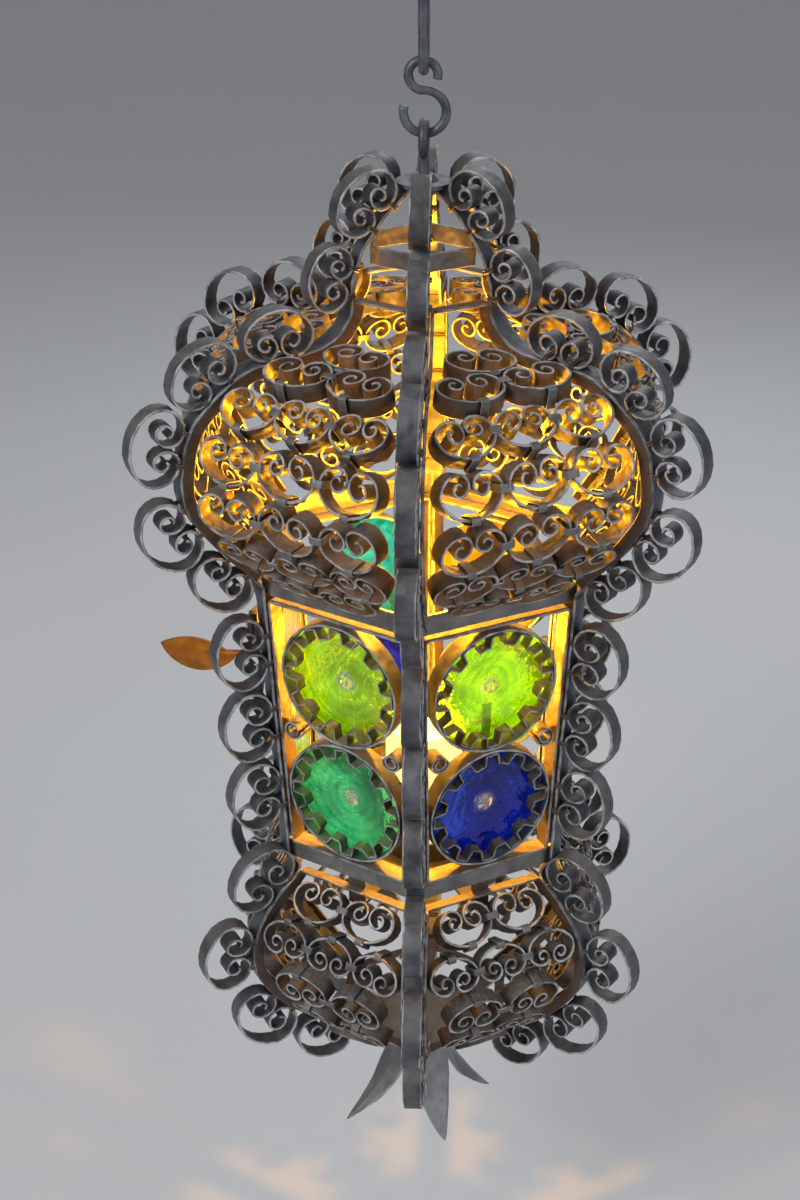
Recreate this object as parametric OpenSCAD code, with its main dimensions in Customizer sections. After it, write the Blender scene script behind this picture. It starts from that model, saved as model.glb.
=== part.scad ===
// Hanging candle lantern in wrought flat bar: six ribs, a scrolled dome, a body of
// bottle-glass rondels and a scrolled basket, on an S-hook and a long link.
// Millimetres, +Z up. The origin is the inside of the link's top bend, where it hangs.

/* [Size] */
// Height from the lantern's datum level up to the hanging point
hang_z = 430; // [400:1:480]
// Width of the flat bar that ribs, frames and scrolls are made from
bar_w = 12; // [8:0.5:16]
// Thickness of the rib bar
bar_t = 2; // [1.5:0.1:3]
// Thickness of the lighter bar that the scrolls are rolled from
scroll_t = 1.6; // [1.2:0.1:2.4]
// Free gap left between neighbouring pieces
gap = 0.3; // [0.2:0.05:0.6]

/* [Body] */
// Rib radius where the body meets the dome
body_r_top = 114; // [100:1:130]
// Rib radius where the body meets the basket
body_r_bot = 103; // [90:1:120]
// Level of the top end of the body posts
body_z_top = 35; // [30:1:40]
// Level of the bottom end of the body posts
body_z_bot = -161; // [-170:1:-150]
// Height of the two flat rails
rail_h = 13; // [10:0.5:16]

/* [Rondels] */
// Outer radius of the strap ring round each glass disc
ring_r = 43.2; // [38:0.1:44]
// Number of teeth in the crenellated strap
lobes = 12; // [8:1:16]
// Thickness of the glass discs at their rim
glass_t = 3; // [2:0.5:5]

/* [Hanging gear] */
// Wire radius of the long link
link_wire_r = 3; // [2:0.1:4]
// Wire radius of the S-hook
hook_wire_r = 2.8; // [2:0.1:4]

/* [Candle] */
// Diameter of the candle
candle_d = 52; // [40:1:60]
// Height of the candle
candle_h = 94; // [40:1:110]

/* [Hidden] */
$fn = 64;
dome_way = [[11.5, 272.5], [26, 261], [41, 243], [50, 222], [51, 203], [65, 187], [91, 181], [118, 178],
            [141, 163], [156, 146], [162, 121], [161, 100], [150, 80], [136, 62], [119, 44], [114, 35.6]];
basket_way = [[102, -163.5], [95.5, -175], [110, -191], [122, -207], [129, -224], [131, -240], [127, -256],
              [118, -271], [104, -287], [85, -302], [60, -318], [36, -331]];
post_way = [[body_r_top, body_z_top], [body_r_bot, body_z_bot]];
lean = atan((body_r_top - body_r_bot) * cos(30) / (body_z_top - body_z_bot));
rib_angles = [for (k = [0:5]) 30 + 60 * k];
panel_angles = [for (k = [0:5]) 60 * k];
door_angle = 180;
// one row of panel scrolls: distance along the way from the foot of the neck, count, pitch, size
dome_rows = [[17, 1, 0, 0.95], [49.5, 2, 43.4, 0.92], [81.5, 3, 38.4, 0.82], [113, 3, 42.6, 0.88],
             [145.5, 3, 42.8, 0.88], [177.5, 3, 40.4, 0.85], [206, 2, 42.6, 0.84]];
// rows in the basket: distance along the way, count, pitch, size, 1 arc down or -1 arc up
basket_rows = [[33, 2, 39.6, 0.82, 1], [66.5, 3, 35.8, 0.74, -1], [98, 2, 44, 0.84, -1],
               [127.5, 2, 39.6, 0.78, -1], [157, 1, 0, 0.84, -1]];
// edge scrolls: distance along the way, size
dome_fans = [[23, 0.98], [64.5, 0.88], [138, 0.97], [181, 1.02], [221, 1.08], [268, 1.08], [313, 0.98]];
body_fans = [[42, 1.1], [95, 1.1], [147.5, 1.1]];
basket_fans = [[34, 1.12], [84, 1.12], [136, 1.12], [184, 0.95]];
upper_z = -19.6;
lower_z = -106.3;
hinge_n = 104.8;
hinge_t = 46.5;
latch_t = -38;
latch_z = -63;
iron = [0.25, 0.26, 0.28];

// smooth curve through the way points, two samples a span
function cr(a, b, c, d, t) = 0.5 * (2 * b + (c - a) * t + (2 * a - 5 * b + 4 * c - d) * t * t
                                    + (3 * b - a - 3 * c + d) * t * t * t);
function smooth(w, m = 2) = len(w) < 3 ? w : concat(
    [for (i = [0:len(w) - 2]) for (j = [0:m - 1])
        cr(w[max(i - 1, 0)], w[i], w[i + 1], w[min(i + 2, len(w) - 1)], j / m)], [w[len(w) - 1]]);
function unit(v) = v / norm(v);
function dirs(p) = [for (i = [0:len(p) - 1]) unit(p[min(i + 1, len(p) - 1)] - p[max(i - 1, 0)])];
function outward(d) = [-d[1], d[0]];
function sums(p, i = 0, acc = 0, out = []) = i == len(p) - 1 ? concat(out, [acc])
    : sums(p, i + 1, acc + norm(p[i + 1] - p[i]), concat(out, [acc]));
// point and direction at a distance along a sampled way: [r, z, dr, dz]
function seg(l, s, i = 0) = i >= len(l) - 2 || l[i + 1] > s ? i : seg(l, s, i + 1);
function at(p, s) = let (l = sums(p), i = seg(l, s), f = (s - l[i]) / (l[i + 1] - l[i]), d = dirs(p),
                         q = p[i] + (p[i + 1] - p[i]) * f, e = unit(d[i] + (d[i + 1] - d[i]) * f))
    [q[0], q[1], e[0], e[1]];
dome_p = smooth(dome_way);
basket_p = smooth(basket_way);
post_p = post_way;
// distance along the dome way to the foot of the neck
neck_s = sums(dome_p)[10];

// closed band between two offsets of a sampled way
module band(p, lo, hi) {
    d = dirs(p);
    n = len(p) - 1;
    polygon(concat([for (i = [0:n]) p[i] - outward(d[i]) * -hi * 1],
                   [for (i = [n:-1:0]) p[i] - outward(d[i]) * -lo * 1]));
}

// band in the radial plane of a rib, centred on it or offset sideways
module rib(angle, p, lo, hi, side, w) {
    rotate([0, 0, angle]) translate([0, side + w / 2, 0]) rotate([90, 0, 0])
        linear_extrude(height = w) band(p, lo, hi);
}

// chords of an arc, without its first point
function chords(c, r, a0, a1, n) = [for (i = [1:n]) let (a = a0 + (a1 - a0) * i / n)
    c + r * [cos(a), sin(a)]];
function half_scroll() = let (b = [13 * cos(45), 13 * sin(45) - 8])
    concat(chords([0, -8], 26, 90, 45, 2), chords(b, 13, 45, -90, 4), chords(b + [0, -5.4], 7.6, -90, -285, 4));
scroll_right = half_scroll();
scroll_way = concat([for (i = [len(scroll_right) - 1:-1:0]) [-scroll_right[i][0], scroll_right[i][1]]],
                    [[0, 18]], scroll_right);

// C-scroll: a broad arc whose two ends roll inward, lying in XY with the arc toward +Y
module scroll(k, w = bar_w, t = scroll_t) {
    linear_extrude(height = w, center = true) band(scroll_way * k, -t / 2, t / 2);
}

// places children on a rib: x along the way, y outward, z across the bar
module on_rib(angle, p, s, off) {
    q = at(p, s);
    n = [-q[3], q[2]];
    c = [q[0] + n[0] * off, q[1] + n[1] * off];
    rotate([0, 0, angle]) multmatrix([[q[2], n[0], 0, c[0]], [0, 0, -1, 0], [q[3], n[1], 0, c[1]],
                                      [0, 0, 0, 1]]) children();
}

// places children on a panel: x across, y down the way, z outward
module on_panel(angle, p, s, across, off, flip = 1) {
    q = at(p, s);
    n = [-q[3], q[2]];
    c = [q[0] * cos(30) + n[0] * off, q[1] + n[1] * off];
    rotate([0, 0, angle]) multmatrix([[0, q[2] * flip, n[0], c[0]], [-flip, 0, 0, across],
                                      [0, q[3] * flip, n[1], c[1]], [0, 0, 0, 1]]) children();
}

// places children on a body panel: x out of the panel, y across, z up, at a level on the leaning plane
module on_body(angle, z, across = 0) {
    a = (body_r_top + (z - body_z_top) * (body_r_top - body_r_bot) / (body_z_top - body_z_bot)) * cos(30);
    rotate([0, 0, angle]) translate([a, across, z]) rotate([0, lean, 0]) children();
}

module lift() {
    translate([0, 0, -hang_z]) children();
}

module hex_rail(apothem, t, z, h) {
    r = apothem / cos(30);
    translate([0, 0, z]) rotate([0, 0, 30]) difference() {
        cylinder(r = r, h = h, $fn = 6);
        translate([0, 0, -1]) cylinder(r = r - t / cos(30), h = h + 2, $fn = 6);
    }
}

// ---- hanging gear -------------------------------------------------------------------------
module hanging_link() color(iron) {
    r = 9;
    top = 3 - r;
    low = -90 + r;
    for (s = [-1, 1]) translate([0, s * r, low]) cylinder(r = link_wire_r, h = top - low);
    translate([0, 0, top]) rotate([90, 0, 90]) rotate_extrude(angle = 180)
        translate([r, 0]) circle(r = link_wire_r);
    translate([0, 0, low]) rotate([90, 0, 90]) rotate([0, 0, 180]) rotate_extrude(angle = 180)
        translate([r, 0]) circle(r = link_wire_r);
}

module hook_arc(cx, cz, r, a0, a1) {
    translate([cx, 0, cz]) rotate([90, 0, 0]) rotate([0, 0, a0])
        rotate_extrude(angle = a1 - a0) translate([r, 0]) circle(r = hook_wire_r);
}

module s_hook() color(iron) {
    r1 = 8.6;
    r2 = 12.5;
    top = -87 + hook_wire_r + 0.1;
    c1 = top - r1;
    c2 = c1 - r1 - r2;
    hook_arc(-0.5, c1, r1, -15, 270);
    hook_arc(0.5, c2, r2, -195, 90);
    translate([-1.2, 0, c1 - r1]) rotate([0, 90, 0]) cylinder(r = hook_wire_r + 0.12, h = 2.4);
}

module top_eye() color(iron) lift() {
    eye_r = 9;
    top = hang_z - 123.5 + 3.1;
    difference() {
        union() {
            translate([0, 0, top - eye_r]) rotate([90, 0, 90]) rotate_extrude() translate([eye_r, 0])
                circle(r = 3);
            translate([0, 0, 264]) cylinder(r = 3, h = top - 2 * eye_r - 264);
        }
        translate([-5, 0, top - eye_r]) rotate([0, 90, 0]) cylinder(r = 5.2, h = 10);
    }
}

module crown_cap() color(iron) lift() {
    difference() {
        union() {
            translate([0, 0, 273.8]) cylinder(r = 17, h = 2.4);
            translate([0, 0, 276.2]) cylinder(r1 = 9, r2 = 5.5, h = 4);
        }
        translate([0, 0, 270]) cylinder(r = 3.3, h = 12);
    }
}

module eye_nut() color(iron) lift() {
    difference() {
        translate([0, 0, 268]) cylinder(r = 7.5, h = 5.4, $fn = 6);
        translate([0, 0, 266]) cylinder(r = 3.3, h = 9);
    }
}

// ---- dome ---------------------------------------------------------------------------------
module dome_ribs() color(iron) lift() {
    for (a = rib_angles) rib(a, dome_p, -bar_t / 2, bar_t / 2, 0, bar_w);
}

module dome_edge_scrolls() color(iron) lift() {
    for (a = rib_angles) for (f = dome_fans)
        on_rib(a, dome_p, f[0], bar_t / 2 + gap + 12.6 * f[1]) scroll(f[1]);
}

module top_ring() color(iron) lift() {
    hex_rail(31, 2, 230, 11);
}

module dome_frame(angle) {
    frame_p = [for (i = [7:28]) dome_p[i]];
    t = 2;
    for (s = [-1, 1]) rib(angle + 30 * s, frame_p, -6.5, 1, -s * (bar_w / 2 + gap + t / 2), t);
    q = frame_p[0];
    rotate([0, 0, angle]) translate([q[0] * cos(30) - 2.5, -(q[0] / 2 - 7), q[1] - 4])
        cube([6, q[0] - 14, t]);
}

module dome_frames() color(iron) lift() {
    for (a = panel_angles) dome_frame(a);
}

module dome_panel(k) color(iron) lift() {
    for (row = dome_rows) for (i = [0:row[1] - 1])
        on_panel(60 * k, dome_p, neck_s + row[0], (i - (row[1] - 1) / 2) * row[2], -0.5)
            scroll(row[3]);
}

module dome_rail() color(iron) lift() {
    hex_rail(97.3, 2.2, 30, rail_h);
}

// ---- body ---------------------------------------------------------------------------------
module body_posts() color(iron) lift() {
    for (a = rib_angles) rib(a, post_p, -bar_t / 2, bar_t / 2, 0, bar_w);
}

module frame(angle) {
    top = 28;
    bot = -152.5;
    a = 50.6;
    b = 44.6;
    on_body(angle, 0) translate([2, 0, 0]) rotate([0, -90, 0]) linear_extrude(height = bar_w) difference() {
        polygon([[bot, -b], [top, -a], [top, a], [bot, b]]);
        polygon([[bot + 2, 2 - b], [top - 2, 2 - a], [top - 2, a - 2], [bot + 2, b - 2]]);
    }
}

// slot through the frame beside the door, which the latch keeper stands in
module keeper_slot() {
    rotate([0, 0, door_angle]) translate([82.3 - gap, -57.5 - gap, latch_z - 5 - gap])
        cube([7.2, 4.5, 10] + 2 * gap * [1, 1, 1]);
}

module body_frames() color(iron) lift() {
    for (a = panel_angles) if (a != door_angle && a != door_angle - 60) frame(a);
    difference() {
        frame(door_angle - 60);
        keeper_slot();
    }
}

module disc_at(angle, z, depth) {
    on_body(angle, z) translate([2 - depth, 0, 0]) rotate([0, 90, 0]) children();
}

module ring(angle, z) {
    disc_at(angle, z, bar_w) difference() {
        cylinder(r = ring_r, h = bar_w);
        translate([0, 0, -1]) cylinder(r = ring_r - 1.8, h = bar_w + 2);
    }
}

module body_rings() color(iron) lift() {
    for (a = panel_angles) if (a != door_angle) for (z = [upper_z, lower_z]) ring(a, z);
}

// crenellated strap: an annulus with pockets cut from both sides in turn
module meander(angle, z) {
    step = 360 / lobes;
    ro = ring_r - 1.8 - gap;
    ri = ro - 8;
    disc_at(angle, z, 8) linear_extrude(height = 8) difference() {
        circle(r = ro);
        circle(r = ri);
        for (i = [0:lobes - 1]) rotate([0, 0, i * step]) {
            polygon([[ri + 1.6, 2 - ri * sin(step / 4)], [ro + 2, 1.6 - ro * sin(step / 4)],
                     [ro + 2, ro * sin(step / 4) - 1.6], [ri + 1.6, ri * sin(step / 4) - 2]]);
            rotate([0, 0, step / 2])
                polygon([[ri - 2, 1.2 - ri * sin(step / 4)], [ro - 1.6, 1.2 - ro * sin(step / 4)],
                         [ro - 1.6, ro * sin(step / 4) - 1.2], [ri - 2, ri * sin(step / 4) - 1.2]]);
        }
    }
}

module body_meanders() color(iron) lift() {
    for (a = panel_angles) if (a != door_angle) for (z = [upper_z, lower_z]) meander(a, z);
}

// bullseye disc: a thin rim, rings of ripples and a boss
module glass(angle, z) {
    r = ring_r - 1.8 - gap;
    disc_at(angle, z, 8 + gap + glass_t) rotate_extrude() polygon([[0, 0], [r, 0], [r, glass_t - 0.4],
        [r * 0.86, glass_t], [r * 0.78, glass_t - 0.9], [r * 0.64, glass_t], [r * 0.54, glass_t - 0.9],
        [r * 0.4, glass_t], [r * 0.26, glass_t - 1], [r * 0.17, glass_t + 1.2], [r * 0.09, glass_t + 1.8],
        [0, glass_t + 1.2]]);
}

module glass_lime() color([0.6, 0.9, 0.1, 0.6]) lift() {
    glass(240, upper_z);
    glass(300, upper_z);
    glass(60, lower_z);
}

module glass_emerald() color([0.1, 0.7, 0.4, 0.6]) lift() {
    glass(240, lower_z);
    glass(0, upper_z);
}

module glass_cobalt() color([0.05, 0.1, 0.7, 0.6]) lift() {
    glass(300, lower_z);
    glass(120, lower_z);
}

module glass_amber() color([0.95, 0.6, 0.1, 0.6]) lift() {
    glass(0, lower_z);
    glass(60, upper_z);
}

module glass_teal() color([0.1, 0.6, 0.6, 0.6]) lift() {
    glass(120, upper_z);
}

// little tab behind each disc that keeps it in
module tab(angle, z) {
    disc_at(angle, z, 8 + 2 * gap + glass_t + 1.5) translate([14, -3, 0]) cube([26, 6, 1.5]);
}

module body_tabs() color(iron) lift() {
    for (a = panel_angles) if (a != door_angle) for (z = [upper_z, lower_z]) tab(a, z);
}

module curl(angle, side) {
    mid = (upper_z + lower_z) / 2;
    on_body(angle, mid, side * 37.8) translate([-4, 0, 0]) rotate([0, 90, 0]) difference() {
        cylinder(r = 7, h = bar_w, center = true);
        cylinder(r = 5.6, h = bar_w + 2, center = true);
    }
}

module filler_curls() color(iron) lift() {
    for (a = panel_angles) if (a != door_angle) for (s = [-1, 1])
        if (a != door_angle - 60 || s < 0) curl(a, s);
}

module body_edge_scrolls() color(iron) lift() {
    for (a = rib_angles) for (f = body_fans)
        on_rib(a, post_p, f[0], bar_t / 2 + gap + 12.6 * f[1]) scroll(f[1]);
}

module body_rail() color(iron) lift() {
    hex_rail(87, 2.2, -166.5, rail_h);
}

// ---- basket -------------------------------------------------------------------------------
module basket_ribs() color(iron) lift() {
    below_rail = [for (i = [1:len(basket_p) - 1]) basket_p[i]];
    for (a = rib_angles) rib(a, below_rail, -bar_t / 2, bar_t / 2, 0, bar_w);
}

module basket_frame(angle) {
    frame_p = [for (i = [2:20]) basket_p[i]];
    t = 2;
    for (s = [-1, 1]) rib(angle + 30 * s, frame_p, -6, 1, -s * (bar_w / 2 + gap + t / 2), t);
    q = frame_p[0];
    e = frame_p[len(frame_p) - 1];
    rotate([0, 0, angle]) translate([q[0] * cos(30), -(q[0] / 2 - 6.6), q[1] - 5])
        cube([5, q[0] - 13.2, t]);
    rotate([0, 0, angle]) translate([e[0] * cos(30) - 2, -(e[0] / 2 - 6.6), e[1] + 0.5])
        cube([8, e[0] - 13.2, t]);
}

module basket_frames() color(iron) lift() {
    for (a = panel_angles) basket_frame(a);
}

module basket_scrolls() color(iron) lift() {
    for (a = panel_angles) for (row = basket_rows) for (i = [0:row[1] - 1])
        on_panel(a, basket_p, row[0], (i - (row[1] - 1) / 2) * row[2], -0.5, row[4])
            scroll(row[3]);
}

module basket_edge_scrolls() color(iron) lift() {
    for (a = rib_angles) for (f = basket_fans)
        on_rib(a, basket_p, f[0], bar_t / 2 + gap + 12.6 * f[1]) scroll(f[1]);
}

module bottom_plate() color(iron) lift() {
    translate([0, 0, -335]) cylinder(r = 38, h = 2.4);
}

// blade with a leaf outline, curling outward toward its tip
// half width of a leaf at a share of its length
function leaf_half(f) = 16 * pow(sin(180 * min(0.12 + f * 0.88, 1)), 0.7) * (1 - 0.25 * f) + 0.3;

module leaf(azimuth, turn, drop, reach) {
    n = 14;
    steps = [for (i = [0:n]) i / n];
    way = [for (f = steps) [reach * (0.25 * f + 0.75 * pow(f, 3)), 6 * pow(f, 3) - drop * f]];
    side = [for (f = steps) [leaf_half(f), -drop * f * 1.02 - 0.2]];
    back = [for (i = [n:-1:0]) [-side[i][0], side[i][1]]];
    rotate([0, 0, azimuth]) translate([14, 0, -335.4]) rotate([0, 0, turn]) intersection() {
        translate([0, 20, 0]) rotate([90, 0, 0]) linear_extrude(height = 40) band(way, -0.9, 0.9);
        rotate([90, 0, 90]) linear_extrude(height = 2 * reach + 20, center = true)
            polygon(concat(side, back));
    }
}

module leaf_left() color(iron) lift() {
    leaf(165, 52, 82, 52);
}

module leaf_front() color(iron) lift() {
    leaf(285, 8, 82, 36);
}

module leaf_right() color(iron) lift() {
    leaf(45, -42, 78, 38);
}

module leaf_rivets() color(iron) lift() {
    for (a = [165, 285, 45]) rotate([0, 0, a]) translate([6.4, 0, -336.9])
        cylinder(r = 3, h = 1.6);
}

// ---- candle and its pan -------------------------------------------------------------------
module candle_pan() color(iron) lift() {
    translate([0, 0, -187.4]) rotate_extrude() polygon([[0, 0], [42, 0], [47, 8], [47, 9.4], [45.6, 9.4],
        [41.2, 1.8], [0, 1.8]]);
}

module pan_cradle() color(iron) lift() {
    for (k = [0:2]) rotate([0, 0, 60 * k]) {
        translate([-80, -6, -190]) cube([160, 12, 2]);
        for (s = [-1, 1]) translate([s * 81 - 1, -6, -190]) cube([2, 12, 34]);
    }
}

module candle_socket() color(iron) lift() {
    translate([0, 0, -185.3]) difference() {
        cylinder(r = candle_d / 2 + 2.2, h = 14);
        translate([0, 0, -1]) cylinder(r = candle_d / 2 + 0.6, h = 16);
    }
}

module candle() color([0.95, 0.85, 0.6]) lift() {
    translate([0, 0, -185.2]) difference() {
        cylinder(d = candle_d, h = candle_h);
        translate([0, 0, candle_h - 5]) cylinder(r1 = 12, r2 = 19, h = 5.2);
    }
}

module wick() color([0.1, 0.1, 0.1]) lift() {
    translate([0, 0, -185.2 + candle_h - 4.7]) cylinder(r = 0.9, h = 14);
}

// ---- door ---------------------------------------------------------------------------------
module hinge_pintles() color(iron) lift() {
    rotate([0, 0, door_angle]) for (z = [-2, -78]) {
        translate([hinge_n, hinge_t, z]) {
            cylinder(r = 3.2, h = 7);
            cylinder(r = 1.5, h = 15);
        }
        shift = (z + 5 - body_z_top) * 0.0486;
        translate([hinge_n + shift - 2.2, hinge_t + (z < -50 ? 1 : 2.4), z])
            cube([1.8 - shift, z < -50 ? 2.15 : 2.6, 7]);
    }
}

module hinge_eyes() color(iron) lift() {
    rotate([0, 0, door_angle]) for (z = [5.3, -70.7]) difference() {
        union() {
            translate([hinge_n, hinge_t, z]) cylinder(r = 3.2, h = 7);
            shift = (z < -20 ? 5.4 : 1.4);
            translate([hinge_n - 3.2 - shift, hinge_t - 9, z]) cube([shift + 3, 8, 7]);
        }
        translate([hinge_n, hinge_t, z - 1]) cylinder(r = 1.56, h = 9);
    }
}

module door_frame() color(iron) lift() {
    difference() {
        union() {
            frame(door_angle);
            rotate([0, 0, door_angle]) translate([92, -47.6, latch_z - 6]) cube([2, 15.6, 12]);
        }
        rotate([0, 0, door_angle]) translate([90, latch_t, latch_z]) rotate([0, 90, 0])
            cylinder(r = 2.56, h = 6);
    }
}

module door_rings() color(iron) lift() {
    for (z = [upper_z, lower_z]) ring(door_angle, z);
}

module door_meanders() color(iron) lift() {
    for (z = [upper_z, lower_z]) meander(door_angle, z);
}

module door_glass_upper() color([0.95, 0.6, 0.1, 0.6]) lift() {
    glass(door_angle, upper_z);
}

module door_glass_lower() color([0.6, 0.9, 0.1, 0.6]) lift() {
    glass(door_angle, lower_z);
}

module door_tabs() color(iron) lift() {
    for (z = [upper_z, lower_z]) tab(door_angle, z);
}

module door_filler() color(iron) lift() {
    curl(door_angle, 1);
}

// turn button: tongue that turns behind the keeper, shaft through the door, leaf-shaped pull outside
module latch() color(iron) lift() {
    rotate([0, 0, door_angle]) translate([0, latch_t, latch_z]) {
        translate([78.9, 0, 0]) rotate([0, 90, 0]) cylinder(r = 2.5, h = 62.9);
        translate([78.9, -3.5, 0]) cube([2, 7, 18]);
        translate([78.9, 0, 0]) rotate([0, 90, 0]) cylinder(r = 4.5, h = 2);
        translate([95, 0, 0]) rotate([0, 90, 0]) cylinder(r = 4.5, h = 2);
        translate([138, -1, 0]) rotate([90, 0, 0]) rotate([0, 0, 12])
            linear_extrude(height = 2) intersection() {
            translate([19, -34]) circle(r = 40);
            translate([19, 12]) circle(r = 30);
        }
    }
}

module latch_keeper() color(iron) lift() {
    rotate([0, 0, door_angle]) translate([82.3, -57.5, latch_z - 5]) cube([7.2, 4.5, 10]);
}

hanging_link();
s_hook();
top_eye();
crown_cap();
eye_nut();
dome_ribs();
dome_edge_scrolls();
top_ring();
dome_frames();
dome_panel(0);  // dome_scrolls_1
dome_panel(1);  // dome_scrolls_2
dome_panel(2);  // dome_scrolls_3
dome_panel(3);  // dome_scrolls_4
dome_panel(4);  // dome_scrolls_5
dome_panel(5);  // dome_scrolls_6
dome_rail();
body_posts();
body_frames();
body_rings();
body_meanders();
glass_lime();
glass_emerald();
glass_cobalt();
glass_amber();
glass_teal();
body_tabs();
filler_curls();
body_edge_scrolls();
body_rail();
basket_ribs();
basket_frames();
basket_scrolls();
basket_edge_scrolls();
bottom_plate();
leaf_left();
leaf_front();
leaf_right();
leaf_rivets();
candle_pan();
pan_cradle();
candle_socket();
candle();
wick();
hinge_pintles();
latch_keeper();
door_frame();
door_rings();
door_meanders();
door_glass_upper();
door_glass_lower();
door_tabs();
door_filler();
hinge_eyes();
latch();
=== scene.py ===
# %% [markdown]
# # Hanging candle lantern
#
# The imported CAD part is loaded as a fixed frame. The pieces made here stand on it: forged straps, rolled
# scrolls, collars, blown glass, the candle and its flame. Everything is in metres, +Z up, and the origin is
# the inside of the hanging link's top bend.
#
# All of it could be modelled by hand in Edit Mode. Formulas were chosen because two hundred and fifty
# scrolls then follow from a few numbers, as they follow from one jig in a smithy.

# %% Load the frame
import math

import bpy
import numpy as np
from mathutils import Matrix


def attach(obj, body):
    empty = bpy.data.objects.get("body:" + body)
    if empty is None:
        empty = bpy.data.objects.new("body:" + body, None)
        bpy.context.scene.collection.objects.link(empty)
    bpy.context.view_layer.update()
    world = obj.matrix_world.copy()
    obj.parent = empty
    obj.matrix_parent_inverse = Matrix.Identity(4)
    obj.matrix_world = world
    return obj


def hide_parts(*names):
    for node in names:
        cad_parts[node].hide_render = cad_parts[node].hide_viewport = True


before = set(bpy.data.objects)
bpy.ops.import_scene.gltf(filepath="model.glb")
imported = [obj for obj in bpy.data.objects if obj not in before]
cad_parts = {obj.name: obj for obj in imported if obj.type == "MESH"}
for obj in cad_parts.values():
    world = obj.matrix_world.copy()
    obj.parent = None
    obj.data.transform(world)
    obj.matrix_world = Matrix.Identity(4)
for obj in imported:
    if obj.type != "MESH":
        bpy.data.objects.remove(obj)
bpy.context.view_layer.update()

# %% [markdown]
# ## Main numbers
#
# Every length is in millimetres here and is turned into metres when a mesh is made. `HANG` is the height of
# the hanging point above the datum level that the ways are drawn in. A *way* is the side view of a rib:
# radius from the axis and height. The three ways belong to the dome, the body and the lower basket.
# They could be read off the CAD meshes, but a short list is easier to follow and to change.

# %% Main numbers
MM = 0.001
HANG = 430.0
BAR = 12.0
DOME_WAY = [[11.5, 272.5], [26, 261], [41, 243], [50, 222], [51, 203], [65, 187], [91, 181], [118, 178],
            [141, 163], [156, 146], [162, 121], [161, 100], [150, 80], [136, 62], [119, 44], [114, 35.6]]
BASKET_WAY = [[102, -163.5], [95.5, -175], [110, -191], [122, -207], [129, -224], [131, -240],
              [127, -256], [118, -271], [104, -287], [85, -302], [60, -318], [36, -331]]
TOP_R, TOP_Z, FOOT_R, FOOT_Z = 114.0, 35.0, 103.0, -161.0
POST_WAY = [[TOP_R, TOP_Z], [FOOT_R, FOOT_Z]]
RIBS = [30 + 60 * k for k in range(6)]
PANELS = [60 * k for k in range(6)]
DOOR = 180
UPPER_Z, LOWER_Z = -19.6, -106.3
LEAN = math.atan((TOP_R - FOOT_R) * math.cos(math.radians(30)) / (TOP_Z - FOOT_Z))
rng = np.random.default_rng(11)

# %% [markdown]
# ## Curves
#
# `smooth` runs a Catmull-Rom curve through the way points. `Way` answers where a distance along the curve
# is, and which direction it runs in: the normal is the direction turned a quarter turn toward the outside.
# A rib's outline could be a Bezier curve object. Worked-out points were chosen because every scroll has
# to be set at a known distance along the rib.

# %% Curves
def smooth(points, steps=10):
    """Catmull-Rom: half of (2b + (c-a)t + (2a-5b+4c-d)t^2 + (3b-a-3c+d)t^3) on each span."""
    p = np.asarray(points, float)
    if len(p) < 3:
        return np.linspace(p[0], p[-1], steps * 3)
    q = np.vstack([p[0], p, p[-1]])
    t = np.arange(steps)[:, None] / steps
    spans = []
    for a, b, c, d in zip(q[:-3], q[1:-2], q[2:-1], q[3:]):
        spans.append(0.5 * (2 * b + (c - a) * t + (2 * a - 5 * b + 4 * c - d) * t ** 2
                            + (3 * b - a - 3 * c + d) * t ** 3))
    return np.vstack(spans + [p[-1:]])


class Way:
    """A side view: points p, s the running sum of the steps between them, and d their direction."""

    def __init__(self, points):
        """Distance is a running sum of step lengths; direction is the step through each point."""
        self.p = smooth(points)
        self.s = np.concatenate([[0], np.cumsum(np.linalg.norm(np.diff(self.p, axis=0), axis=1))])
        step = np.gradient(self.p, axis=0)
        self.d = step / np.linalg.norm(step, axis=1)[:, None]

    def at(self, s):
        """Radius, height and direction at distance s, each read off by straight-line interpolation."""
        r, z = np.interp(s, self.s, self.p[:, 0]), np.interp(s, self.s, self.p[:, 1])
        dr, dz = np.interp(s, self.s, self.d[:, 0]), np.interp(s, self.s, self.d[:, 1])
        n = np.hypot(dr, dz)
        return r, z, dr / n, dz / n

    def near(self, r, z):
        """Distance along the way of the sample that lies nearest to a radius and a height."""
        return self.s[np.argmin(np.hypot(self.p[:, 0] - r, self.p[:, 1] - z))]


dome, basket, post = Way(DOME_WAY), Way(BASKET_WAY), Way(POST_WAY)
print("way lengths", [round(w.s[-1], 1) for w in (dome, post, basket)])

# %% [markdown]
# ## Frames of reference
#
# A placement is a 3x4 matrix. `on_rib` stands on a rib: x runs along it, y outward, z across the bar.
# `on_panel` lies on the flat gore between two ribs: x across, y down the way, z outward. `on_body` lies on
# a leaning side of the body: x out of it, y across, z up.
# Empties could carry one piece each; a matrix moves a whole array of points at once.

# %% Frames of reference
def turn(angle):
    """Rotation about Z: x goes to (cos, sin) and y to (-sin, cos) of the angle in degrees."""
    c, s = math.cos(math.radians(angle)), math.sin(math.radians(angle))
    return np.array([[c, -s, 0], [s, c, 0], [0, 0, 1.0]])


def place(angle, columns, origin):
    """3x4 matrix: three axes and an origin, given at angle 0 and turned about Z."""
    m = np.zeros((3, 4))
    m[:, :3] = turn(angle) @ np.array(columns, float).T
    m[:, 3] = turn(angle) @ np.array(origin, float)
    return m


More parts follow.
